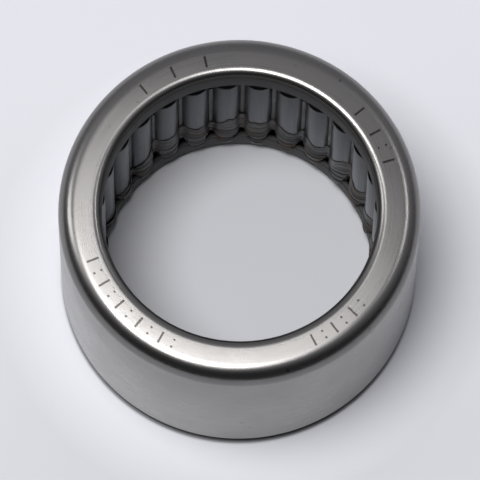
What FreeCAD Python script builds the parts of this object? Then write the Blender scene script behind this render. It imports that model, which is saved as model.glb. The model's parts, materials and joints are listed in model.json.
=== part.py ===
"""Drawn-cup needle roller bearing with a full complement of needles, in millimetres.

The cup is one drawn shell whose two ends turn in and then back along the bore as hooked lips.
The needles fill the cup with no cage. Each has a thin trunnion at both ends, which lies behind
a lip, so the needles can't fall into the bore. The bearing's axis is +Z, and the origin is the
centre of its lower end.
"""

import FreeCAD, Part
import math
import os

Vector = FreeCAD.Vector
CENTRE = Vector(0, 0, 0)
AXIS = Vector(0, 0, 1)

# Driving dimensions: the cup
OUTER_DIAMETER = 25.4
WIDTH = 15.875
CUP_WALL = 0.775           # between the raceway and the outside
END_WALL = 0.75            # the turned-in end, measured along the axis
OUTER_CORNER_RADIUS = 1.2  # from the outside round to each end face
LIP_BEND_RADIUS = 0.66     # from each end face round into the bore
LIP_DEPTH = 2.2            # from each end face to the lip's free edge
LIP_EDGE_RADIUS = 0.12
LIP_ROOT_RADIUS = 0.15     # inside the hook, between the lip and the end wall

# Driving dimensions: the needles
NEEDLE_DIAMETER = 2.38125
NEEDLE_SHOULDER_RADIUS = 0.35
TRUNNION_DIAMETER = 1.0
TRUNNION_TIP_RADIUS = 0.3
TRUNNION_ROOT_RADIUS = 0.08

# Driving dimensions: the clearances
RACEWAY_CLEARANCE = 0.01   # between each needle and the raceway, as the needles stand centred
NEEDLE_SPACING = 0.004     # the least gap between neighbouring needles, as many as fit
TIP_CLEARANCE = 0.1        # between a trunnion's tip and the end wall, at each end
SHOULDER_CLEARANCE = 0.175  # between a needle's shoulder and the lip's free edge, at each end
TRUNNION_CLEARANCE = 0.16  # between a trunnion and the lip that it lies behind
LIP_SETBACK = 0.106        # from the needles back to the lips, so that a shaft touches only the needles

# Driving dimensions: the grease between the needles, on the bore side
GREASE_CLEARANCE = 0.03    # from each needle
GREASE_DEPTH = 0.75        # from the needles' pitch circle in towards the shaft
GREASE_END_GAP = 0.6       # from a needle's shoulder to the end of the grease

# Dimensions that follow
OUTER_RADIUS = OUTER_DIAMETER / 2
RACEWAY_RADIUS = OUTER_RADIUS - CUP_WALL
NEEDLE_RADIUS = NEEDLE_DIAMETER / 2
PITCH_RADIUS = RACEWAY_RADIUS - RACEWAY_CLEARANCE - NEEDLE_RADIUS
LEAST_NEEDLE_ANGLE = 2 * math.degrees(math.asin((NEEDLE_RADIUS + NEEDLE_SPACING / 2) / PITCH_RADIUS))
NEEDLE_COUNT = math.floor(360 / LEAST_NEEDLE_ANGLE)
NEEDLE_ANGLE = 360 / NEEDLE_COUNT
TRUNNION_RADIUS = TRUNNION_DIAMETER / 2
LIP_BORE_RADIUS = PITCH_RADIUS - NEEDLE_RADIUS + LIP_SETBACK
LIP_BACK_RADIUS = PITCH_RADIUS - TRUNNION_RADIUS - TRUNNION_CLEARANCE
RACEWAY_CORNER_RADIUS = max(OUTER_CORNER_RADIUS - CUP_WALL, LIP_ROOT_RADIUS)
TIP_HEIGHT = END_WALL + TIP_CLEARANCE
SHOULDER_HEIGHT = LIP_DEPTH + SHOULDER_CLEARANCE
GREASE_HEIGHT = SHOULDER_HEIGHT + GREASE_END_GAP


def rounded_outline(corners):
    """A closed wire in the XZ plane through corners given as (x, z, rounding)."""
    points = [Vector(x, 0, z) for x, z, _ in corners]
    roundings = [rounding for _, _, rounding in corners]
    edges = []
    straight_start = None
    for index, corner in enumerate(points):
        to_last = (points[index - 1] - corner).normalize()
        to_next = (points[(index + 1) % len(points)] - corner).normalize()
        half_angle = to_last.getAngle(to_next) / 2
        rounding = roundings[index]
        setback = rounding / math.tan(half_angle)
        straight_end = corner + to_last * setback
        if straight_start is None:
            outline_start = straight_end
        else:
            edges.append(Part.LineSegment(straight_start, straight_end).toShape())
        straight_start = corner + to_next * setback
        if rounding:
            inward = (to_last + to_next).normalize()
            arc_middle = corner + inward * (rounding / math.sin(half_angle) - rounding)
            edges.append(Part.Arc(straight_end, arc_middle, straight_start).toShape())
    edges.append(Part.LineSegment(straight_start, outline_start).toShape())
    return Part.Wire(edges)


def mirrored_ends(lower_corners):
    """The corners of one end, followed by the same corners at the other end."""
    upper_corners = [(x, WIDTH - z, rounding) for x, z, rounding in reversed(lower_corners)]
    return lower_corners + upper_corners


def turned(corners):
    """The solid that an outline sweeps round the Z axis."""
    return Part.Face(rounded_outline(corners)).revolve(CENTRE, AXIS, 360)


def outer_cup():
    """The drawn shell: raceway, outside, end walls and hooked lips in one piece."""
    return turned(
        mirrored_ends(
            [
                (RACEWAY_RADIUS, END_WALL, RACEWAY_CORNER_RADIUS),
                (LIP_BACK_RADIUS, END_WALL, LIP_ROOT_RADIUS),
                (LIP_BACK_RADIUS, LIP_DEPTH, LIP_EDGE_RADIUS),
                (LIP_BORE_RADIUS, LIP_DEPTH, LIP_EDGE_RADIUS),
                (LIP_BORE_RADIUS, 0, LIP_BEND_RADIUS),
                (OUTER_RADIUS, 0, OUTER_CORNER_RADIUS),
            ]
        )
    )


def needle():
    """One needle on the Z axis: a ground roller with a trunnion at each end."""
    return turned(
        mirrored_ends(
            [
                (0, TIP_HEIGHT, 0),
                (TRUNNION_RADIUS, TIP_HEIGHT, TRUNNION_TIP_RADIUS),
                (TRUNNION_RADIUS, SHOULDER_HEIGHT, TRUNNION_ROOT_RADIUS),
                (NEEDLE_RADIUS, SHOULDER_HEIGHT, NEEDLE_SHOULDER_RADIUS),
            ]
        )
    )


def needle_in_place(one_needle, number):
    """A copy of the needle at its own place, counted from 1, with a gap between needles at +X."""
    placed = one_needle.copy()
    placed.translate(Vector(PITCH_RADIUS, 0, 0))
    placed.rotate(CENTRE, AXIS, (number - 0.5) * NEEDLE_ANGLE)
    return placed


def grease_fill():
    """The grease in the grooves between neighbouring needles, a column for each groove."""
    half_space = math.radians(NEEDLE_ANGLE / 2)
    half_chord = PITCH_RADIUS * math.sin(half_space)
    pitch_line = PITCH_RADIUS * math.cos(half_space)
    length = WIDTH - 2 * GREASE_HEIGHT
    column = Part.makeBox(
        GREASE_DEPTH,
        2 * half_chord,
        length,
        Vector(pitch_line - GREASE_DEPTH, -half_chord, GREASE_HEIGHT),
    )
    for side in (-half_chord, half_chord):
        needle_space = Part.makeCylinder(
            NEEDLE_RADIUS + GREASE_CLEARANCE, length, Vector(pitch_line, side, GREASE_HEIGHT)
        )
        column = column.cut(needle_space)
    columns = []
    for groove in range(NEEDLE_COUNT):
        placed = column.Solids[0].copy()
        placed.rotate(CENTRE, AXIS, groove * NEEDLE_ANGLE)
        columns.append(placed)
    return Part.Compound(columns)


def save(name, shape):
    """Writes one sub-part, once its shape is known to be sound."""
    if not shape.isValid():
        raise ValueError(f"{name} isn't a valid shape")
    shape.exportStep(f"parts/{name}.step")


def main():
    os.makedirs("parts", exist_ok=True)
    save("outer_cup", outer_cup())
    one_needle = needle()
    for number in range(1, NEEDLE_COUNT + 1):
        save(f"needle_roller_{number:02d}", needle_in_place(one_needle, number))
    save("grease_fill", grease_fill())


main()
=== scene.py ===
import json
import math
import random

import bmesh
import bpy
from bpy.props import FloatProperty, FloatVectorProperty, IntProperty, PointerProperty
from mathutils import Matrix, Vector


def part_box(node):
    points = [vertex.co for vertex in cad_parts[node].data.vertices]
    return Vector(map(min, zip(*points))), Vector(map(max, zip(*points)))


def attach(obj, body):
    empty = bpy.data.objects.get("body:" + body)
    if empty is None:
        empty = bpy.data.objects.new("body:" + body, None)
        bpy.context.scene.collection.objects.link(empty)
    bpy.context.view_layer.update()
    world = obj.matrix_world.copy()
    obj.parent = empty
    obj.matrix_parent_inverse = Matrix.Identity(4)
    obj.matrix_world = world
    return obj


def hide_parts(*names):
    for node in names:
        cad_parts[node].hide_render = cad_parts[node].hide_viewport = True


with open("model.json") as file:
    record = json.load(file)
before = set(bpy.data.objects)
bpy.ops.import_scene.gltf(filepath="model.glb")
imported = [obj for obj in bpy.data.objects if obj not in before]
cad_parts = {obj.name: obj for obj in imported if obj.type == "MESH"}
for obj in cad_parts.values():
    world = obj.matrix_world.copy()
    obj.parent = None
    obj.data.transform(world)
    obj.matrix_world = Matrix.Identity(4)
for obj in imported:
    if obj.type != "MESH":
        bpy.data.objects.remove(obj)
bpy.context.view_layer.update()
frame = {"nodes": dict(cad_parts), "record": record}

bl_info = {
    "name": "Needle roller bearing",
    "version": (1, 0, 0),
    "blender": (4, 5, 0),
    "location": "3D View > Sidebar > Bearing",
    "description": "Builds a drawn-cup needle roller bearing round its CAD frame",
    "category": "Add Mesh",
}

MM = 0.001
ORIGIN = (0, 0, 0)
SAME_PLACE = 2e-6
SHARP_METAL = 35
SHARP_GREASE = 60


# ---------------------------------------------------------------- the CAD frame

def mount(name):
    """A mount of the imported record, by name."""
    return next(m for m in frame["record"]["mounts"] if m["name"] == name)


def node_centre(node):
    """The middle of a CAD node's box."""
    low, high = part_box(node)
    return (Vector(low) + Vector(high)) / 2


NEEDLE_NODES = sorted(name for name in frame["nodes"] if name.startswith("needle_roller_"))
CUP_LOW, CUP_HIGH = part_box("outer_cup")
NEEDLE_LOW, NEEDLE_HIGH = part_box(NEEDLE_NODES[0])
GREASE_LOW, GREASE_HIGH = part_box("grease_fill")
OUTER_RADIUS = mount("housing_fit")["dims"]["r_mm"] * MM
LIP_BORE_RADIUS = mount("shaft_bore")["dims"]["r_mm"] * MM
NEEDLE_BORE_RADIUS = mount("needle_bore")["dims"]["r_mm"] * MM
NEEDLE_BODY_LENGTH = mount("needle_bore")["dims"]["length_mm"] * MM
WIDTH = CUP_HIGH[2] - CUP_LOW[2]
PITCH_RADIUS = node_centre(NEEDLE_NODES[0]).xy.length
NEEDLE_RADIUS = PITCH_RADIUS - NEEDLE_BORE_RADIUS
NEEDLE_LENGTH = NEEDLE_HIGH[2] - NEEDLE_LOW[2]
FIRST_ANGLE = math.atan2(node_centre(NEEDLE_NODES[0]).y, node_centre(NEEDLE_NODES[0]).x)
NEEDLE_STEP = 2 * math.pi / len(NEEDLE_NODES)
MIDDLE_HEIGHT = WIDTH / 2


# ---------------------------------------------------------------- what a user may change

def length(name, description, default):
    """A length that a user may change, kept in metres."""
    return FloatProperty(
        name=name,
        description=description,
        default=default,
        min=0,
        subtype="DISTANCE",
        unit="LENGTH",
        precision=5,
    )


def colour(name, description, default):
    """A colour that a user may change."""
    return FloatVectorProperty(
        name=name, description=description, default=default, min=0, max=1, size=3, subtype="COLOR"
    )


class BearingSizes(bpy.types.PropertyGroup):
    """Sizes that the CAD frame doesn't give."""

    cup_wall: length("Cup wall", "Between the raceway and the outside", 0.775 * MM)
    end_wall: length("End wall", "The turned-in end, along the axis", 0.75 * MM)
    outer_corner: length("Outer corner", "Radius from the outside to an end face", 1.2 * MM)
    lip_bend: length("Lip bend", "Radius from an end face into the bore", 0.66 * MM)
    lip_depth: length("Lip depth", "From an end face to the lip's free edge", 2.2 * MM)
    lip_thickness: length("Lip thickness", "Of the part of the lip that lies along the bore", 0.42 * MM)
    lip_edge: length("Lip edge", "Rounding of the lip's free edge", 0.12 * MM)
    face_fall: length("Face fall", "How far an end face falls away before its outer corner", 0.20 * MM)
    trunnion_radius: length("Trunnion radius", "Of a needle's thin end", 0.5 * MM)
    trunnion_tip: length("Trunnion tip", "Rounding of a needle's tip", 0.3 * MM)
    shoulder: length("Needle shoulder", "Rounding between a needle's body and its end", 0.35 * MM)
    mark_height: length("Mark height", "Of a stamped mark, along the radius", 0.90 * MM)
    mark_stroke: length("Mark stroke", "Width of one stamped stroke", 0.16 * MM)
    mark_depth: length("Mark depth", "How deep the marks are stamped", 0.05 * MM)
    bead_front: length("Bead front", "From the axis to the grease between two needles", 10.08 * MM)
    bead_hollow: length("Bead hollow", "How far a bead's front sinks in at its middle", 0.05 * MM)
    film_height: length("Film height", "Of the grease smeared on the needles' lower ends", 4.9 * MM)
    film_thickness: length("Film thickness", "Of the smear, without its ripples", 0.008 * MM)
    film_ripple: length("Film ripple", "Height of the ripples in the smear", 0.10 * MM)
    cup_facets: IntProperty(name="Cup facets", description="Sides of the cup's round", default=288, min=32)
    needle_facets: IntProperty(name="Needle facets", description="Sides of a needle", default=48, min=16)


class BearingColours(bpy.types.PropertyGroup):
    """Colours of the metal, the grease and the stage."""

    cup: colour("Cup", "Drawn and hardened steel", (0.235, 0.228, 0.222))
    # The inside colour is partly dried oil, partly painted shade, on the cup where it faces the bore.
    inside: colour("Inside", "Dried oil on the cup where it faces the bore", (0.030, 0.030, 0.029))
    needle: colour("Needles", "Ground steel under oil", (0.042, 0.044, 0.048))
    grease: colour("Grease", "Used dark grease", (0.020, 0.020, 0.020))
    mark: colour("Marks", "The floor of a stamped mark", (0.06, 0.055, 0.05))
    floor: colour("Floor", "Plain pale floor", (0.775, 0.778, 0.82))


class BearingStage(bpy.types.PropertyGroup):
    """Camera and light."""

    camera_distance: length("Camera distance", "From the bearing's middle to the camera", 514.2 * MM)
    camera_height: FloatProperty(
        name="Camera elevation", description="Above the horizon", default=math.radians(72.72), subtype="ANGLE"
    )
    camera_roll: FloatProperty(
        name="Camera roll", description="Turn of the picture", default=math.radians(1.44), subtype="ANGLE"
    )
    lens: FloatProperty(name="Lens", description="Focal length in millimetres", default=544.1)
    key_power: FloatProperty(name="Key light", description="Overhead light", default=2.85, unit="POWER")
    left_power: FloatProperty(
        name="Left light", description="Smaller light high on the left", default=0.52, unit="POWER"
    )
    right_power: FloatProperty(
        name="Right light", description="Smaller light high on the right", default=0.24, unit="POWER"
    )


# ---------------------------------------------------------------- modelling helpers

def start_clean():
    """Object mode, with nothing selected."""
    if bpy.context.mode != "OBJECT":
        bpy.ops.object.mode_set(mode="OBJECT")
    bpy.ops.object.select_all(action="DESELECT")


def select_only(piece):
    """Selects one object and makes it active."""
    start_clean()
    piece.select_set(True)
    bpy.context.view_layer.objects.active = piece


def name_piece(name):
    """Names the active object and its mesh."""
    piece = bpy.context.object
    piece.name = name
    piece.data.name = name
    return piece


def settle(piece):
    """Puts a piece's place, turn and scale into its mesh, which leaves its object at the origin."""
    select_only(piece)
    bpy.ops.object.transform_apply(location=True, rotation=True, scale=True)


def select_vertices(test):
    """Selects the vertices whose place passes a test, with the edges and faces between them, in edit mode."""
    mesh = bpy.context.object.data
    shape = bmesh.from_edit_mesh(mesh)
    for part in (shape.verts, shape.edges, shape.faces):
        for item in part:
            item.select = False
    for vertex in shape.verts:
        if test(vertex.co):
            vertex.select = True
    shape.select_mode = {"VERT"}
    shape.select_flush_mode()
    bmesh.update_edit_mesh(mesh)


def on_ring(radius, height):
    """A test for vertices on a level ring round the bearing's axis."""
    def test(place):
        reach = math.hypot(place.x, place.y)
        return abs(reach - radius) < SAME_PLACE and abs(place.z - height) < SAME_PLACE
    return test


def extrude_ring(from_radius, from_height, to_radius, to_height):
    """Extrudes the ring of edges that is selected to a new radius and height."""
    bpy.ops.mesh.extrude_region_move(TRANSFORM_OT_translate={"value": (0, 0, to_height - from_height)})
    scale = to_radius / from_radius
    if scale != 1:
        bpy.ops.transform.resize(value=(scale, scale, 1), center_override=(0, 0, to_height))


def round_ring(radius, height, rounding, segments):
    """Bevels a ring of edges to a rounding."""
    select_vertices(on_ring(radius, height))
    bpy.ops.mesh.bevel(
        offset=rounding, offset_type="OFFSET", segments=segments, affect="EDGES", clamp_overlap=False
    )


def merge_and_face_out():
    """Merges doubles and turns every face outwards, in edit mode."""
    bpy.ops.mesh.select_all(action="SELECT")
    bpy.ops.mesh.remove_doubles(threshold=1e-7)
    bpy.ops.mesh.normals_make_consistent(inside=False)
    bpy.ops.mesh.select_all(action="DESELECT")


def join(pieces, name):
    """Makes several objects one, at the origin."""
    start_clean()
    for piece in pieces:
        piece.select_set(True)
    bpy.context.view_layer.objects.active = pieces[0]
    bpy.ops.object.join()
    joined = name_piece(name)
    settle(joined)
    return joined


def smooth(piece, degrees):
    """Smooth shading over edges gentler than an angle."""
    select_only(piece)
    bpy.ops.object.shade_smooth_by_angle(angle=math.radians(degrees))


def apply_modifier(piece, kind, **settings):
    """Adds a modifier, sets it and applies it."""
    select_only(piece)
    modifier = piece.modifiers.new(kind.title(), kind)
    for key, value in settings.items():
        setattr(modifier, key, value)
    bpy.ops.object.modifier_apply(modifier=modifier.name)


# ---------------------------------------------------------------- material helpers

class Nodes:
    """A small hand for laying out a material's nodes."""

    def __init__(self, name):
        self.material = bpy.data.materials.new(name)
        self.material.use_nodes = True
        self.tree = self.material.node_tree
        self.shader = self.tree.nodes["Principled BSDF"]

    def add(self, kind, **settings):
        node = self.tree.nodes.new(kind)
        for key, value in settings.items():
            setattr(node, key, value)
        return node

    def link(self, output, socket):
        self.tree.links.new(output, socket)

    def value(self, operation, first, second=None, third=None):
        """A Math node on sockets or numbers."""
        node = self.add("ShaderNodeMath", operation=operation)
        for index, item in enumerate((first, second, third)):
            if item is None:
                continue
            if isinstance(item, (int, float)):
                node.inputs[index].default_value = item
            else:
                self.link(item, node.inputs[index])
        return node.outputs[0]

    def ramp(self, factor, stops):
        """A colour ramp through (place, colour) stops."""
        node = self.add("ShaderNodeValToRGB")
        elements = node.color_ramp.elements
        while len(elements) < len(stops):
            elements.new(0.5)
        for element, (place, shade) in zip(elements, stops):
            element.position = place
            element.color = (*shade, 1) if len(shade) == 3 else shade
        self.link(factor, node.inputs["Fac"])
        return node.outputs["Color"]

    def between(self, factor, low, high, start=0.0, end=1.0):
        """Maps start..end to low..high, and holds it there."""
        node = self.add("ShaderNodeMapRange", clamp=True)
        node.inputs["From Min"].default_value = start
        node.inputs["From Max"].default_value = end
        node.inputs["To Min"].default_value = low
        node.inputs["To Max"].default_value = high
        self.link(factor, node.inputs["Value"])
        return node.outputs["Result"]

    def noise(self, vector, scale, detail=3.0, roughness=0.5, distortion=0.0):
        node = self.add("ShaderNodeTexNoise")
        node.inputs["Scale"].default_value = scale
        node.inputs["Detail"].default_value = detail
        node.inputs["Roughness"].default_value = roughness
        node.inputs["Distortion"].default_value = distortion
        self.link(vector, node.inputs["Vector"])
        return node.outputs["Fac"]

    def mix(self, factor, first, second):
        """Mixes two colours, each a socket or a plain colour."""
        node = self.add("ShaderNodeMix", data_type="RGBA")
        for item, socket in ((factor, node.inputs[0]), (first, node.inputs[6]), (second, node.inputs[7])):
            if hasattr(item, "is_linked"):
                self.link(item, socket)
            elif isinstance(item, (int, float)):
                socket.default_value = item
            else:
                socket.default_value = (*item, 1)
        return node.outputs[2]

    def round_coordinates(self):
        """Sockets for the place, the angle round the axis, the distance from it and the height."""
        place = self.add("ShaderNodeTexCoord").outputs["Object"]
        split = self.add("ShaderNodeSeparateXYZ")
        self.link(place, split.inputs[0])
        x, y, z = split.outputs
        squares = self.value("MULTIPLY", x, x), self.value("MULTIPLY", y, y)
        radius = self.value("SQRT", self.value("ADD", *squares))
        angle = self.value("ARCTAN2", y, x)
        return place, angle, radius, z

    def stack(self, x, y, z):
        """A vector from three sockets or numbers."""
        node = self.add("ShaderNodeCombineXYZ")
        for index, item in enumerate((x, y, z)):
            if isinstance(item, (int, float)):
                node.inputs[index].default_value = item
            else:
                self.link(item, node.inputs[index])
        return node.outputs[0]

    def bump(self, height, distance, strength=1.0, after=None):
        node = self.add("ShaderNodeBump")
        node.inputs["Distance"].default_value = distance
        node.inputs["Strength"].default_value = strength
        self.link(height, node.inputs["Height"])
        if after is not None:
            self.link(after, node.inputs["Normal"])
        return node.outputs["Normal"]


# ---------------------------------------------------------------- materials

BLACK = (0, 0, 0)
WHITE = (1, 1, 1)
# Where the dark inside coat ends: partly dried oil, partly painted shade.
OIL_AND_SHADE_EDGE = (0.02 * MM, 0.16 * MM)
OIL_AND_SHADE_OVERLAP = 0.05 * MM
OIL_ROUGHNESS = 0.62
FLOOR_SHARE = 0.12
MARK_REACH = 0.56


def cup_steel(sizes, colours):
    """Drawn, hardened and lightly polished steel: fine rings on the end faces and the outside, and a dull dark
    coat, which isn't metal, inside the cup: partly dried oil, partly painted shade."""
    paint = Nodes("cup_steel")
    shader = paint.shader
    place, angle, radius, height = paint.round_coordinates()
    shader.inputs["Anisotropic"].default_value = 0.35
    tangent = paint.add("ShaderNodeTangent", direction_type="RADIAL", axis="Z")
    paint.link(tangent.outputs[0], shader.inputs["Tangent"])

    fine_radius = paint.value("MULTIPLY", radius, 9000)
    fine_height = paint.value("MULTIPLY", height, 9000)
    rings = paint.noise(paint.stack(angle, fine_radius, fine_height), 1.2, 4)
    cloud = paint.noise(place, 260, 4, 0.55)
    fine = paint.noise(place, 2600, 3, 0.6)
    specks = paint.noise(place, 900, 2, 0.5)

    steel = tuple(colours.cup)
    dull = tuple(0.80 * part for part in steel)
    warm = (steel[0] * 0.93, steel[1] * 0.90, steel[2] * 0.86)
    base = paint.mix(paint.between(cloud, -0.4, 1.2), steel, dull)
    base = paint.mix(paint.between(fine, -0.2, 0.5), base, warm)
    dark_speck = paint.ramp(specks, ((0.0, BLACK), (0.735, BLACK), (0.77, WHITE), (1.0, WHITE)))
    base = paint.mix(paint.value("MULTIPLY", dark_speck, 0.6), base, tuple(colours.mark))

    # A dull dark coat inside the cup and on the lips' bores: partly dried oil, partly painted shade.
    oil_and_shade = oil_and_shade_mask(paint, sizes, radius, height)
    base = paint.mix(oil_and_shade, base, tuple(colours.inside))
    paint.link(paint.value("SUBTRACT", 1, oil_and_shade), shader.inputs["Metallic"])

    stamped = stamped_mask(paint, sizes, radius, height)
    base = paint.mix(stamped, base, tuple(colours.mark))
    paint.link(base, shader.inputs["Base Color"])

    rough = paint.value("ADD", paint.between(cloud, 0.22, 0.34), paint.between(rings, -0.05, 0.07))
    rough = paint.value("MAXIMUM", rough, paint.value("MULTIPLY", oil_and_shade, OIL_ROUGHNESS))
    paint.link(rough, shader.inputs["Roughness"])
    normal = paint.bump(rings, 0.0000012)
    normal = paint.bump(fine, 0.0000020, after=normal)
    paint.link(normal, shader.inputs["Normal"])
    return paint.material


def oil_and_shade_mask(paint, sizes, radius, height):
    """1 inside the cup and on the lips' bores, 0 on the end faces and the outside."""
    by_lip = paint.between(radius, 1, 0, *(LIP_BORE_RADIUS + reach for reach in OIL_AND_SHADE_EDGE))
    from_middle = paint.value("ABSOLUTE", paint.value("SUBTRACT", height, MIDDLE_HEIGHT))
    between_ends = paint.value("LESS_THAN", from_middle, MIDDLE_HEIGHT - sizes.end_wall + OIL_AND_SHADE_OVERLAP)
    within_wall = paint.value("LESS_THAN", radius, OUTER_RADIUS - sizes.cup_wall / 2)
    return paint.value("MAXIMUM", by_lip, paint.value("MULTIPLY", between_ends, within_wall))


def stamped_mask(paint, sizes, radius, height):
    """1 on the floors of the stamped marks, found by their height, in the ring that holds the marks."""
    below = paint.value("LESS_THAN", height, mark_floor(sizes) + FLOOR_SHARE * sizes.mark_depth)
    above = paint.value("GREATER_THAN", height, mark_floor(sizes) - sizes.mark_depth)
    reach = MARK_REACH * sizes.mark_height
    outside = paint.value("GREATER_THAN", radius, MARK_RING_RADIUS - reach)
    inside = paint.value("LESS_THAN", radius, MARK_RING_RADIUS + reach)
    at_floor = paint.value("MULTIPLY", below, above)
    return paint.value("MULTIPLY", at_floor, paint.value("MULTIPLY", outside, inside))


WAVES_FADE = (4.0 * MM, 7.5 * MM)


def needle_steel(colours):
    """Ground steel under dark oil, in soft streaks and brown patches, with dark waves near the lower ends."""
    paint = Nodes("needle_steel")
    shader = paint.shader
    _, angle, _, height = paint.round_coordinates()
    shader.inputs["Metallic"].default_value = 1.0
    shader.inputs["Specular Tint"].default_value = (0.86, 0.88, 0.92, 1)
    shader.inputs["Coat Weight"].default_value = 0.2
    shader.inputs["Coat Roughness"].default_value = 0.12
    shader.inputs["Coat Tint"].default_value = (0.85, 0.85, 0.80, 1)

    def grain(round_scale, height_scale):
        """Coordinates for a pattern with a size of its own round the bearing and along it."""
        across = paint.value("MULTIPLY", angle, round_scale)
        return paint.stack(across, 0, paint.value("MULTIPLY", height, height_scale))

    streaks = paint.noise(grain(60, 60), 1.6, 4)
    tones = paint.noise(grain(13, 90), 1.0, 2)
    waves = paint.noise(grain(10, 2400), 1.0, 3, 0.55, 0.9)
    steel = tuple(colours.needle)
    oily = tuple(0.55 * part for part in steel)
    base = paint.mix(paint.between(streaks, -0.3, 1.3), steel, oily)
    brown = (1.05 * steel[0], 0.90 * steel[1], 0.74 * steel[2])
    base = paint.mix(paint.between(tones, 0, 0.8, 0.42, 0.60), base, brown)
    low = paint.between(height, 1, 0, *WAVES_FADE)
    smear = paint.value("MULTIPLY", low, paint.ramp(waves, ((0.42, BLACK), (0.56, WHITE))))
    base = paint.mix(smear, base, tuple(colours.grease))
    paint.link(base, shader.inputs["Base Color"])
    paint.link(paint.between(streaks, 0.20, 0.42), shader.inputs["Roughness"])
    paint.link(paint.bump(waves, 0.00002, 0.4), shader.inputs["Normal"])
    return paint.material


def dark_grease(colours):
    """Dark grease with a wet skin, duller and browner in patches."""
    paint = Nodes("dark_grease")
    shader = paint.shader
    place = paint.add("ShaderNodeTexCoord").outputs["Object"]
    lumps = paint.noise(place, 1400, 4, 0.6)
    patches = paint.noise(place, 420, 3, 0.55)
    dark = tuple(colours.grease)
    base = paint.mix(lumps, dark, tuple(2.2 * part for part in dark))
    brown = (3.6 * dark[0], 2.2 * dark[1], 1.3 * dark[2])
    base = paint.mix(paint.between(patches, 0, 1, 0.50, 0.66), base, brown)
    paint.link(base, shader.inputs["Base Color"])
    shader.inputs["Specular IOR Level"].default_value = 0.22
    paint.link(paint.between(patches, 0.26, 0.48, 0.3, 0.7), shader.inputs["Roughness"])
    paint.link(paint.bump(lumps, 0.000006), shader.inputs["Normal"])
    return paint.material


# A dark ring painted on the floor under the cup's edge: a painted contact shadow.
PAINTED_SHADOW_RADIUS = 11.2 * MM
PAINTED_SHADOW_REACH = 1.20 * MM
PAINTED_SHADOW_EDGE = 0.45 * MM
PAINTED_SHADOW_LEVEL = 0.12
# A paler ring painted on the floor round the cup: a painted pool of light.
PAINTED_LIGHT_REACH = 5 * MM
PAINTED_LIGHT_LEVEL = 1.16
# Painted shade on the floor inside the bore.
BORE_SHADE = 0.785
# Painted shade that darkens the floor towards the near right, across this reach each side of the middle.
FAR_SHADE = 0.88
FAR_REACH = 16 * MM


def pale_floor(colours):
    """A pale card, faintly cloudy, with painted shade a little darker towards the near right. Painted on it are
    a painted pool of light round the cup, painted shade inside its bore and a painted shadow under its edge."""
    paint = Nodes("pale_floor")
    shader = paint.shader
    place = paint.add("ShaderNodeTexCoord").outputs["Object"]
    split = paint.add("ShaderNodeSeparateXYZ")
    paint.link(place, split.inputs[0])
    cloud = paint.noise(place, 30, 4)
    pale = tuple(colours.floor)
    base = paint.mix(cloud, pale, tuple(0.97 * part for part in pale))
    # Painted shade, darker towards the near right.
    across = paint.value("SUBTRACT", paint.value("MULTIPLY", split.outputs["X"], 0.2), split.outputs["Y"])
    dim = paint.between(across, 0, 1, -FAR_REACH, FAR_REACH)
    base = paint.mix(dim, base, tuple(FAR_SHADE * part for part in pale))
    squares = [paint.value("MULTIPLY", split.outputs[axis], split.outputs[axis]) for axis in "XY"]
    radius = paint.value("SQRT", paint.value("ADD", *squares))
    # Painted pool of light on the floor, just outside the cup.
    painted_light = paint.between(radius, 1, 0, OUTER_RADIUS, OUTER_RADIUS + PAINTED_LIGHT_REACH)
    outside = paint.value("GREATER_THAN", radius, OUTER_RADIUS)
    # Painted shade on the floor inside the bore.
    base = paint.mix(outside, tuple(BORE_SHADE * part for part in pale), base)
    base = paint.mix(paint.value("MULTIPLY", painted_light, outside), base, tuple(PAINTED_LIGHT_LEVEL * part for part in pale))
    # Painted shadow under the cup's edge.
    from_ring = paint.value("ABSOLUTE", paint.value("SUBTRACT", radius, PAINTED_SHADOW_RADIUS))
    painted_shadow = paint.between(from_ring, 1, 0, PAINTED_SHADOW_REACH, PAINTED_SHADOW_REACH + PAINTED_SHADOW_EDGE)
    base = paint.mix(painted_shadow, base, tuple(PAINTED_SHADOW_LEVEL * part for part in pale))
    paint.link(base, shader.inputs["Base Color"])
    shader.inputs["Roughness"].default_value = 0.55
    shader.inputs["Specular IOR Level"].default_value = 0.35
    return paint.material


# ---------------------------------------------------------------- pieces

FACE_TILT = math.radians(2.6)
FACE_RINGS = 9
FACE_MARGIN = 0.08 * MM


def face_height(sizes, radius):
    """Height of the upper end face, which falls away from the lip bend, faster towards the outer corner."""
    bend_radius = sizes.lip_bend * math.tan((math.pi / 2 - FACE_TILT) / 2)
    corner_height = WIDTH + sizes.lip_bend - bend_radius
    beyond = radius - LIP_BORE_RADIUS
    share = max(beyond - sizes.lip_bend, 0) / (OUTER_RADIUS - LIP_BORE_RADIUS - sizes.lip_bend)
    steady = math.tan(FACE_TILT) * beyond
    more = sizes.face_fall - math.tan(FACE_TILT) * (OUTER_RADIUS - LIP_BORE_RADIUS)
    return corner_height - steady - more * share ** 2


def cup_section(sizes):
    """The corners of the upper half of the cup's section, from the outside round to the raceway."""
    lip_back = LIP_BORE_RADIUS + sizes.lip_thickness
    lip_end = WIDTH - sizes.lip_depth
    under_face = WIDTH - sizes.end_wall
    outermost = OUTER_RADIUS - sizes.outer_corner - FACE_MARGIN
    innermost = LIP_BORE_RADIUS + sizes.lip_bend + FACE_MARGIN
    step = (outermost - innermost) / (FACE_RINGS - 1)
    crown = [outermost - index * step for index in range(FACE_RINGS)]
    return [
        (OUTER_RADIUS, face_height(sizes, OUTER_RADIUS)),
        *((radius, face_height(sizes, radius)) for radius in crown),
        (LIP_BORE_RADIUS, face_height(sizes, LIP_BORE_RADIUS)),
        (LIP_BORE_RADIUS, lip_end),
        (lip_back, lip_end),
        (lip_back, under_face),
        (OUTER_RADIUS - sizes.cup_wall, under_face),
    ]


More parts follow.
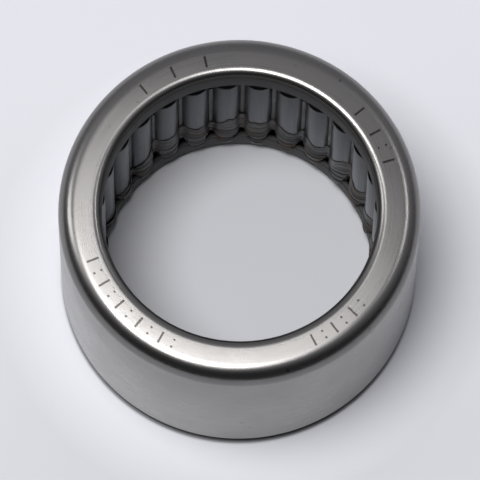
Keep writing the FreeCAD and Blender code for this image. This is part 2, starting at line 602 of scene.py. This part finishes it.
def model_cup(sizes):
    """The drawn shell, from a tube whose ends are turned in and hooked back along the bore."""
    section = cup_section(sizes)
    start_clean()
    rim_height = section[0][1]
    bpy.ops.mesh.primitive_cylinder_add(
        vertices=sizes.cup_facets,
        radius=OUTER_RADIUS,
        depth=2 * rim_height - WIDTH,
        end_fill_type="NOTHING",
        location=(0, 0, MIDDLE_HEIGHT),
    )
    cup = name_piece("drawn_cup")
    settle(cup)
    bpy.ops.object.mode_set(mode="EDIT")
    for flip in (False, True):
        rings = [(radius, WIDTH - height if flip else height) for radius, height in section]
        select_vertices(on_ring(*rings[0]))
        for start, end in zip(rings, rings[1:]):
            extrude_ring(*start, *end)
    raceway = section[-1]
    at_top = on_ring(raceway[0], raceway[1])
    at_bottom = on_ring(raceway[0], WIDTH - raceway[1])
    select_vertices(lambda place: at_top(place) or at_bottom(place))
    bpy.ops.mesh.bridge_edge_loops()
    merge_and_face_out()
    roundings = (
        (0, sizes.outer_corner, 12),
        (-5, sizes.lip_bend, 10),
        (-4, sizes.lip_edge, 4),
        (-3, sizes.lip_edge, 4),
        (-1, sizes.outer_corner - sizes.cup_wall, 4),
    )
    for index, rounding, segments in roundings:
        radius, height = section[index]
        round_ring(radius, height, rounding, segments)
        round_ring(radius, WIDTH - height, rounding, segments)
    bpy.ops.object.mode_set(mode="OBJECT")
    return cup


# The stamped marks are plain ticks and dots that stand for nothing. A stroke is (place along the radius,
# size along the radius), as shares of a mark's height; a size of 0 is one stroke's width.
MARKS = {
    "tick": ((0, 1),),
    "dots": ((0.30, 0), (-0.30, 0)),
}
# Each group is (angle of its first mark, angle between marks, marks), in degrees.
MARK_GROUPS = (
    (104.0, 12.7, ("tick", "tick", "tick")),
    (19.4, 6.0, ("tick", "dots", "tick")),
    (41.3, 0.0, ("tick",)),
    (-60.7, 4.5, ("tick", "dots") * 3),
    (202.2, 4.9, ("tick", "dots") * 5),
)
MARK_RING_RADIUS = 10.96 * MM
CUTTER_HEIGHT = 0.5 * MM


def mark_floor(sizes):
    """Height of the floor of the stamped marks."""
    return face_height(sizes, MARK_RING_RADIUS) - sizes.mark_depth


def add_stroke(sizes, angle, stroke):
    """Adds one cutter block at its place in a mark."""
    along, tall = stroke
    radius = MARK_RING_RADIUS + along * sizes.mark_height
    height = CUTTER_HEIGHT
    bpy.ops.mesh.primitive_cube_add(
        size=1,
        location=(radius * math.cos(angle), radius * math.sin(angle), mark_floor(sizes) + height / 2),
        rotation=(0, 0, angle),
        scale=(max(tall * sizes.mark_height, sizes.mark_stroke), sizes.mark_stroke, height),
    )
    return bpy.context.object


def stamp_marks(cup, sizes):
    """Cuts the marks into the upper end face, and keeps the shading that the face has without them."""
    smooth(cup, SHARP_METAL)
    bpy.ops.object.duplicate()
    plain = name_piece("plain_cup")
    start_clean()
    cutters = []
    for first, pitch, names in MARK_GROUPS:
        for index, name in enumerate(names):
            angle = math.radians(first + index * pitch)
            cutters += [add_stroke(sizes, angle, stroke) for stroke in MARKS[name]]
    stamp = join(cutters, "stamp")
    apply_modifier(cup, "BOOLEAN", operation="DIFFERENCE", object=stamp, solver="EXACT")
    bpy.data.objects.remove(stamp)
    smooth(cup, SHARP_METAL)
    apply_modifier(
        cup,
        "DATA_TRANSFER",
        object=plain,
        use_loop_data=True,
        data_types_loops={"CUSTOM_NORMAL"},
        loop_mapping="POLYINTERP_NEAREST",
    )
    bpy.data.objects.remove(plain)


def model_needle(sizes):
    """One needle on the vertical axis: a roller with a rounded shoulder and a thin trunnion at each end."""
    start_clean()
    facets = sizes.needle_facets
    body_length = NEEDLE_BODY_LENGTH + 2 * sizes.shoulder
    bpy.ops.mesh.primitive_cylinder_add(
        vertices=facets,
        radius=NEEDLE_RADIUS,
        depth=body_length,
        end_fill_type="NGON",
        location=(0, 0, MIDDLE_HEIGHT),
    )
    needle = name_piece("needle")
    settle(needle)
    bpy.ops.object.mode_set(mode="EDIT")
    for side in (-1, 1):
        shoulder_height = MIDDLE_HEIGHT + side * body_length / 2
        tip_height = MIDDLE_HEIGHT + side * NEEDLE_LENGTH / 2
        select_vertices(lambda place: abs(place.z - shoulder_height) < 1e-6)
        bpy.ops.mesh.inset(thickness=NEEDLE_RADIUS - sizes.trunnion_radius)
        reach = (0, 0, tip_height - shoulder_height)
        bpy.ops.mesh.extrude_region_move(TRANSFORM_OT_translate={"value": reach})
        round_ring(sizes.trunnion_radius, tip_height, sizes.trunnion_tip, 4)
        round_ring(NEEDLE_RADIUS, shoulder_height, sizes.shoulder, 5)
    merge_and_face_out()
    bpy.ops.object.mode_set(mode="OBJECT")
    return needle


def needle_front(offset):
    """Distance from the bearing's axis to a needle's inner side, at an angle from the needle's own middle."""
    aside = min(abs(PITCH_RADIUS * math.sin(offset)), NEEDLE_RADIUS)
    return PITCH_RADIUS * math.cos(offset) - math.sqrt(NEEDLE_RADIUS ** 2 - aside ** 2)


def groove_half_width(radius):
    """Half of the gap between two needles, at a distance from the bearing's axis."""
    deep = PITCH_RADIUS * math.cos(NEEDLE_STEP / 2) - radius
    return PITCH_RADIUS * math.sin(NEEDLE_STEP / 2) - math.sqrt(NEEDLE_RADIUS ** 2 - deep ** 2)


def select_edges(test):
    """Selects the edges whose direction passes a test, in edit mode."""
    mesh = bpy.context.object.data
    shape = bmesh.from_edit_mesh(mesh)
    shape.select_mode = {"EDGE"}
    for part in (shape.verts, shape.edges, shape.faces):
        for item in part:
            item.select = False
    for edge in shape.edges:
        if test((edge.verts[1].co - edge.verts[0].co).normalized()):
            edge.select_set(True)
    bmesh.update_edit_mesh(mesh)


NEARLY_STRAIGHT = 0.99


def upright(direction):
    """A test for edges that run along the bearing's axis."""
    return abs(direction.z) > NEARLY_STRAIGHT


BEAD_BACK = 10.36 * MM
BEAD_GAP = 0.018 * MM
BEAD_SEED = 5
BEAD_ROWS = 70
BEAD_FOOT = (0.1 * MM, 0.9 * MM)
BEAD_HEAD = (0.2 * MM, 1.3 * MM)
BEAD_GRAIN = (0.5 * MM, 0.5 * MM, 1.6 * MM)
BEAD_WAVE = 0.03 * MM


def model_bead(sizes):
    """One bead of grease in the groove on the X axis: a wedge with a hollow front."""
    front = sizes.bead_front
    wide = groove_half_width(front) - BEAD_GAP
    narrow = groove_half_width(BEAD_BACK) - BEAD_GAP
    start_clean()
    bpy.ops.mesh.primitive_cube_add(
        size=1,
        location=((front + BEAD_BACK) / 2, 0, 0.5),
        scale=(BEAD_BACK - front, 2 * wide, 1),
    )
    bead = name_piece("bead")
    settle(bead)
    bpy.ops.object.mode_set(mode="EDIT")
    select_edges(lambda direction: abs(direction.y) > NEARLY_STRAIGHT)
    bpy.ops.mesh.subdivide(number_cuts=3)
    select_edges(upright)
    bpy.ops.mesh.subdivide(number_cuts=BEAD_ROWS)
    select_vertices(lambda place: place.x > BEAD_BACK - 1e-6)
    bpy.ops.transform.resize(value=(1, narrow / wide, 1), center_override=(BEAD_BACK, 0, 0))
    for share, sink in ((0.5, 0.7), (0.0, 1.0)):
        select_vertices(lambda place: place.x < front + 1e-6 and abs(abs(place.y) - share * wide) < 1e-6)
        bpy.ops.transform.translate(value=(sink * sizes.bead_hollow, 0, 0))
    merge_and_face_out()
    bpy.ops.object.mode_set(mode="OBJECT")
    return bead


def model_beads(sizes):
    """A bead in every groove, each a little longer or shorter, with a wavy front."""
    master = model_bead(sizes)
    chance = random.Random(BEAD_SEED)
    beads = []
    for index in range(len(NEEDLE_NODES)):
        select_only(master)
        bpy.ops.object.duplicate()
        bead = bpy.context.object
        low = GREASE_LOW[2] + chance.uniform(*BEAD_FOOT)
        high = GREASE_HIGH[2] - chance.uniform(*BEAD_HEAD)
        bead.location = (0, 0, low)
        bead.scale = (1, 1, high - low)
        bead.rotation_euler = (0, 0, FIRST_ANGLE + (index + 0.5) * NEEDLE_STEP)
        beads.append(bead)
    bpy.data.objects.remove(master)
    piece = join(beads, "grease_beads")
    ruffle(piece, "CLOUDS", BEAD_GRAIN, BEAD_WAVE, 0.5)
    return piece


FILM_COLUMNS = 14
FILM_ROWS = 54
FILM_GAP = 0.028 * MM
FILM_LOW = 1.35 * MM
FILM_LIP_GAP = 0.08 * MM
FILM_SEED = 11
FILM_THICK_SIDE = math.radians(60)
FILM_THIN_SHARE = 0.34
FILM_THIN_TO_FULL = (-0.1, 0.4)  # cosines of the angle from the thick side
FACES_BORE = 0.2                 # the least that a corner's normal leans towards the axis, on the bore side
POCKET_SHARE = 0.40
POCKET_HEIGHTS = (1.8 * MM, 2.9 * MM)
SKIN_GRAIN = (9 * MM, 7 * MM, 0.72 * MM)
EDGE_GRAIN = (1.6 * MM, 1.6 * MM, 8 * MM)
EDGE_WAVE = 3.4 * MM
FOOT_GRAIN = (2.1 * MM, 2.1 * MM, 8 * MM)
FOOT_WAVE = 1.1 * MM


def model_film(sizes):
    """The smear over the needles' lower ends: a thin ring that follows needles and grooves and narrows in front
    of the lower lip, rippled towards the bore, with an uneven top and foot."""
    columns = FILM_COLUMNS * len(NEEDLE_NODES)
    start_clean()
    bpy.ops.mesh.primitive_cylinder_add(
        vertices=columns,
        radius=sizes.bead_front,
        depth=sizes.film_height,
        end_fill_type="NOTHING",
        location=(0, 0, FILM_LOW + sizes.film_height / 2),
        rotation=(0, 0, FIRST_ANGLE),
    )
    film = name_piece("grease_film")
    settle(film)
    bpy.ops.object.mode_set(mode="EDIT")
    select_edges(upright)
    bpy.ops.mesh.subdivide(number_cuts=FILM_ROWS)
    step = 2 * math.pi / columns
    for column in range(FILM_COLUMNS // 2 + 1):
        def at_column(place):
            turn = math.atan2(place.y, place.x) - FIRST_ANGLE
            index = round(turn / step) % FILM_COLUMNS
            return min(index, FILM_COLUMNS - index) == column
        select_vertices(at_column)
        radius = min(needle_front(column * step), sizes.bead_front) - FILM_GAP - sizes.film_thickness
        scale = radius / sizes.bead_front
        bpy.ops.transform.resize(value=(scale, scale, 1), center_override=ORIGIN)
        scale = min(LIP_BORE_RADIUS - FILM_LIP_GAP, radius) / radius
        select_vertices(lambda place: place.z < sizes.lip_depth + FILM_LIP_GAP and at_column(place))
        bpy.ops.transform.resize(value=(scale, scale, 1), center_override=ORIGIN)
    trim_film(sizes)
    bpy.ops.object.mode_set(mode="OBJECT")
    apply_modifier(film, "SOLIDIFY", thickness=sizes.film_thickness, offset=1)
    select_only(film)
    bpy.ops.object.mode_set(mode="EDIT")
    merge_and_face_out()
    bpy.ops.object.mode_set(mode="OBJECT")
    corners = film.data.vertices
    to_bore = [
        corner.index for corner in corners
        if corner.normal.xy.dot(corner.co.xy) < -FACES_BORE * corner.co.xy.length
    ]
    everywhere = range(len(corners))
    weigh_by_height(film, "skin", to_bore, film_level(sizes, 1), film_level(sizes, 0.5))
    weigh_by_height(film, "edge", everywhere, film_level(sizes, 0.3), film_level(sizes, 1))
    ruffle(film, "MARBLE", SKIN_GRAIN, sizes.film_ripple, 0.0, "skin")
    weigh_by_height(film, "foot", everywhere, film_level(sizes, 0.25), FILM_LOW)
    ruffle(film, "CLOUDS", EDGE_GRAIN, EDGE_WAVE, 0.62, "edge", "Z")
    ruffle(film, "CLOUDS", FOOT_GRAIN, FOOT_WAVE, 0.5, "foot", "Z")
    return film


def film_level(sizes, share):
    """A height in the smear, as a share of the way up it."""
    return FILM_LOW + share * sizes.film_height


def trim_film(sizes):
    """Opens a pocket at the foot of each groove, and lowers the smear's top away from its thick side."""
    chance = random.Random(FILM_SEED)
    reaches = [chance.uniform(*POCKET_HEIGHTS) for _ in NEEDLE_NODES]
    thin, full = FILM_THIN_TO_FULL
    shape = bmesh.from_edit_mesh(bpy.context.object.data)
    for face in shape.faces:
        place = face.calc_center_median()
        angle = math.atan2(place.y, place.x)
        steps = (angle - FIRST_ANGLE) / NEEDLE_STEP
        index = math.floor(steps) % len(NEEDLE_NODES)
        aside = abs(steps - math.floor(steps) - 0.5)
        in_pocket = aside < POCKET_SHARE * (1 - (place.z - FILM_LOW) / reaches[index])
        share = min(max((math.cos(angle - FILM_THICK_SIDE) - thin) / (full - thin), 0), 1)
        too_high = place.z > film_level(sizes, FILM_THIN_SHARE + (1 - FILM_THIN_SHARE) * share)
        face.select_set(in_pocket or too_high)
    bmesh.update_edit_mesh(bpy.context.object.data)
    bpy.ops.mesh.delete(type="FACE")


def weigh_by_height(piece, name, indices, start, end):
    """A vertex group whose weight rises from 0 to 1 between two heights."""
    group = piece.vertex_groups.new(name=name)
    for index in indices:
        share = (piece.data.vertices[index].co.z - start) / (end - start)
        group.add([index], min(max(share, 0), 1), "REPLACE")


def ruffle(piece, kind, grain, strength, level, group="", direction="NORMAL"):
    """Displaces a piece by a noise whose grain has a size of its own along each axis."""
    start_clean()
    bpy.ops.object.empty_add(location=ORIGIN)
    guide = bpy.context.object
    guide.scale = grain
    bpy.context.view_layer.update()
    texture = bpy.data.textures.new(f"{piece.name}_{kind.lower()}", kind)
    texture.noise_scale = 1.0
    texture.noise_depth = 2
    if kind == "MARBLE":
        texture.turbulence = 9.0
    apply_modifier(
        piece,
        "DISPLACE",
        texture=texture,
        texture_coords="OBJECT",
        texture_coords_object=guide,
        strength=strength,
        mid_level=level,
        vertex_group=group,
        direction=direction,
    )
    bpy.data.objects.remove(guide)


# ---------------------------------------------------------------- operators

class BEARING_OT_cup(bpy.types.Operator):
    """Models the drawn cup and stamps its marks"""

    bl_idname = "bearing.cup"
    bl_label = "Drawn cup"

    def execute(self, context):
        sizes = context.scene.bearing_sizes
        cup = model_cup(sizes)
        stamp_marks(cup, sizes)
        cup.data.materials.clear()
        cup.data.materials.append(cup_steel(sizes, context.scene.bearing_colours))
        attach(cup, "cup")
        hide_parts("outer_cup")
        return {"FINISHED"}


class BEARING_OT_needles(bpy.types.Operator):
    """Models one needle and sets a copy at the place of each needle"""

    bl_idname = "bearing.needles"
    bl_label = "Needles"

    def execute(self, context):
        master = model_needle(context.scene.bearing_sizes)
        smooth(master, SHARP_METAL)
        master.data.materials.append(needle_steel(context.scene.bearing_colours))
        for node in NEEDLE_NODES:
            number = node.rsplit("_", 1)[1]
            select_only(master)
            bpy.ops.object.duplicate()
            needle = name_piece(f"trunnion_needle_{number}")
            needle.location = (*node_centre(node).xy, 0)
            settle(needle)
            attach(needle, f"needle_{number}")
            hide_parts(node)
        bpy.data.objects.remove(master)
        return {"FINISHED"}


class BEARING_OT_grease(bpy.types.Operator):
    """Models the beads of grease between the needles and the smear over their lower ends"""

    bl_idname = "bearing.grease"
    bl_label = "Grease"

    def execute(self, context):
        sizes = context.scene.bearing_sizes
        material = dark_grease(context.scene.bearing_colours)
        for piece in (model_beads(sizes), model_film(sizes)):
            smooth(piece, SHARP_GREASE)
            piece.data.materials.clear()
            piece.data.materials.append(material)
            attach(piece, "roller_complement")
            if piece.name == "grease_beads":
                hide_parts("grease_fill")
        return {"FINISHED"}


class BEARING_OT_stage(bpy.types.Operator):
    """Sets the floor, the lights and the camera. The side lights show only in reflections"""

    bl_idname = "bearing.stage"
    bl_label = "Stage"

    def execute(self, context):
        stage = context.scene.bearing_stage
        start_clean()
        bpy.ops.mesh.primitive_plane_add(size=1.6, location=ORIGIN)
        floor = name_piece("floor")
        floor.data.materials.append(pale_floor(context.scene.bearing_colours))

        add_area_light("key_light", stage.key_power)
        for name, power in (("left_light", stage.left_power), ("right_light", stage.right_power)):
            add_area_light(name, power).visible_diffuse = False
        context.scene.world = soft_room()
        context.scene.view_settings.view_transform = "Standard"
        add_camera(stage)
        return {"FINISHED"}


# Brightness of the room from its darkest direction, low in front, to its lightest, high behind.
ROOM_LEVELS = ((0.0, 0.05), (0.20, 0.10), (0.50, 0.23), (0.75, 0.29), (1.0, 0.36))
ROOM_TINT = (0.96, 0.97, 1.05)


def soft_room():
    """A room that is dark low in front and lighter overhead and behind."""
    world = bpy.data.worlds.new("soft_room")
    world.use_nodes = True
    tree = world.node_tree
    direction = tree.nodes.new("ShaderNodeTexCoord").outputs["Generated"]
    split = tree.nodes.new("ShaderNodeSeparateXYZ")
    tree.links.new(direction, split.inputs[0])
    lean = tree.nodes.new("ShaderNodeMath")
    lean.operation = "ADD"
    tree.links.new(split.outputs["Y"], lean.inputs[0])
    tree.links.new(split.outputs["Z"], lean.inputs[1])
    ramp = tree.nodes.new("ShaderNodeValToRGB")
    while len(ramp.color_ramp.elements) < len(ROOM_LEVELS):
        ramp.color_ramp.elements.new(0.5)
    for element, (place, level) in zip(ramp.color_ramp.elements, ROOM_LEVELS):
        element.position = place
        element.color = (*(part * level for part in ROOM_TINT), 1)
    tree.links.new(lean.outputs[0], ramp.inputs["Fac"])
    tree.links.new(ramp.outputs["Color"], tree.nodes["Background"].inputs["Color"])
    return world


# Where each light stands, and its width and height, in metres.
LIGHTS = {
    "key_light": ((-0.107, -0.036, 0.589), (0.27, 0.27)),
    "left_light": ((-0.429, 0.141, 0.395), (0.16, 0.24)),
    "right_light": ((0.287, 0.178, 0.496), (0.09, 0.09)),
}


def add_area_light(name, power):
    """A round or oval soft light aimed at the bearing."""
    place, size = LIGHTS[name]
    bpy.ops.object.light_add(type="AREA", location=place)
    light = bpy.context.object
    light.name = name
    light.data.shape = "ELLIPSE"
    light.data.size, light.data.size_y = size
    light.data.energy = power
    aim = Vector((0, 0, MIDDLE_HEIGHT)) - Vector(place)
    light.rotation_euler = aim.to_track_quat("-Z", "Y").to_euler()
    return light


AIM_ASIDE = 0.079 * MM
AIM_ABOVE = 0.025 * MM
SENSOR_WIDTH = 36
NEAREST_VIEW = 0.01


def add_camera(stage):
    """A long lens looking down into the bore, aimed a little off the bearing's middle."""
    elevation = stage.camera_height
    roll = stage.camera_roll
    forward = Vector((0, math.cos(elevation), -math.sin(elevation)))
    level_right = Vector((1, 0, 0))
    level_up = level_right.cross(forward)
    right = level_right * math.cos(roll) + level_up * math.sin(roll)
    up = level_up * math.cos(roll) - level_right * math.sin(roll)
    aim = Vector((0, 0, MIDDLE_HEIGHT)) + right * AIM_ASIDE + up * AIM_ABOVE
    place = aim - forward * stage.camera_distance
    bpy.ops.object.camera_add(location=place)
    camera = bpy.context.object
    camera.name = "camera"
    turn = [right, up, -forward]
    matrix = camera.matrix_world.to_3x3()
    for row in range(3):
        for column in range(3):
            matrix[row][column] = turn[column][row]
    camera.rotation_euler = matrix.to_euler()
    camera.data.lens = stage.lens
    camera.data.sensor_width = SENSOR_WIDTH
    camera.data.clip_start = NEAREST_VIEW
    bpy.context.scene.camera = camera


class BEARING_PT_panel(bpy.types.Panel):
    """Lists the pieces of the bearing"""

    bl_idname = "BEARING_PT_panel"
    bl_label = "Needle roller bearing"
    bl_space_type = "VIEW_3D"
    bl_region_type = "UI"
    bl_category = "Bearing"

    def draw(self, context):
        for operator in OPERATORS:
            self.layout.operator(operator.bl_idname)


OPERATORS = (BEARING_OT_cup, BEARING_OT_needles, BEARING_OT_grease, BEARING_OT_stage)
CLASSES = (BearingSizes, BearingColours, BearingStage, *OPERATORS, BEARING_PT_panel)


def register():
    for item in CLASSES:
        bpy.utils.register_class(item)
    bpy.types.Scene.bearing_sizes = PointerProperty(type=BearingSizes)
    bpy.types.Scene.bearing_colours = PointerProperty(type=BearingColours)
    bpy.types.Scene.bearing_stage = PointerProperty(type=BearingStage)


def unregister():
    del bpy.types.Scene.bearing_stage
    del bpy.types.Scene.bearing_colours
    del bpy.types.Scene.bearing_sizes
    for item in reversed(CLASSES):
        bpy.utils.unregister_class(item)


def main():
    register()
    bpy.ops.bearing.cup()
    bpy.ops.bearing.needles()
    bpy.ops.bearing.grease()
    bpy.ops.bearing.stage()


if __name__ == "__main__":
    main()
